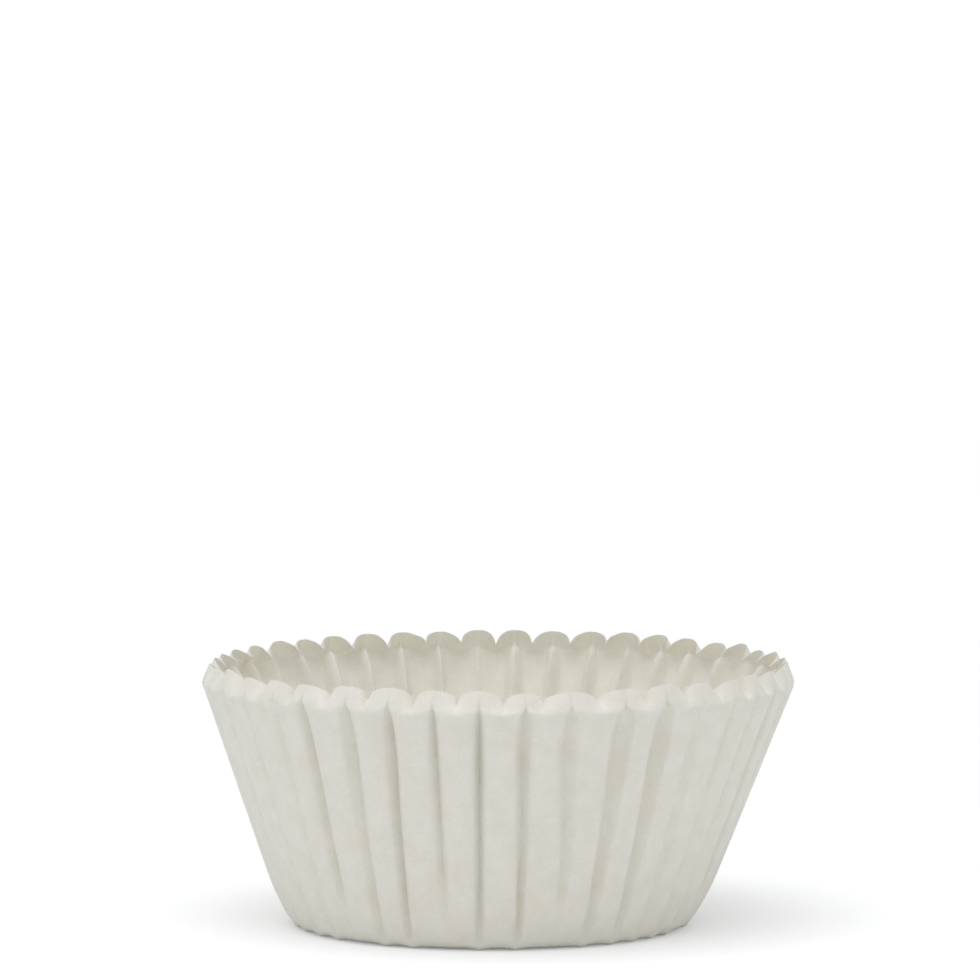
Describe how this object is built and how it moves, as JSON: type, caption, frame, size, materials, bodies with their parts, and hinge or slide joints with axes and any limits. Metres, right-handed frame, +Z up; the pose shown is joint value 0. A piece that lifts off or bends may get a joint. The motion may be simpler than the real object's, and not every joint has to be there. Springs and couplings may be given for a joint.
{
  "type": "cupcake liner",
  "caption": "Pleated greaseproof paper baking cup with a flat round base, a flaring wall of narrow flutes and a scalloped rim that leans in.",
  "frame": {"origin": "centre of the underside of the flat base", "axes": "+Z up out of the cup's mouth, along the axis that the flutes repeat round; a flute's outer panel faces -Y"},
  "size_m": [0.0722, 0.0722, 0.0319],
  "materials": {
    "paper": "matt, slightly translucent off-white greaseproof paper"
  },
  "bodies": {
    "root": {"liner": "paper"}
  },
  "joints": []
}
